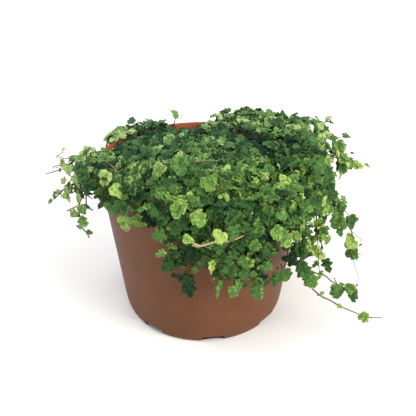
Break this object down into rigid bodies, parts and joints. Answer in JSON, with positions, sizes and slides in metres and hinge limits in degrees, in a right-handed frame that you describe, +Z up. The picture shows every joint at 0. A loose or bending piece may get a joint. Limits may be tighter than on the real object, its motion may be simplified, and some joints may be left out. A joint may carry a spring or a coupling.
{
  "type": "potted creeping fig",
  "caption": "Creeping fig in a round tapered nursery pot: a low carpet of small lobed leaves that spills over the rim in trailing stems.",
  "frame": {"origin": "centre of the pot's flat base, on the surface that it stands on", "axes": "+Z up along the pot's axis, -Y is the front seen in the picture, +X to the right seen from the front"},
  "size_m": [0.2537, 0.194, 0.136],
  "materials": {
    "pot_plastic": "satin",
    "potting_mix": "matte",
    "foliage": "satin"
  },
  "bodies": {
    "root": {"pot": "pot_plastic", "potting_mix": "potting_mix", "plant_1": "foliage", "plant_2": "foliage", "plant_3": "foliage", "plant_4": "foliage", "plant_5": "foliage", "plant_6": "foliage", "plant_7": "foliage"}
  },
  "joints": []
}
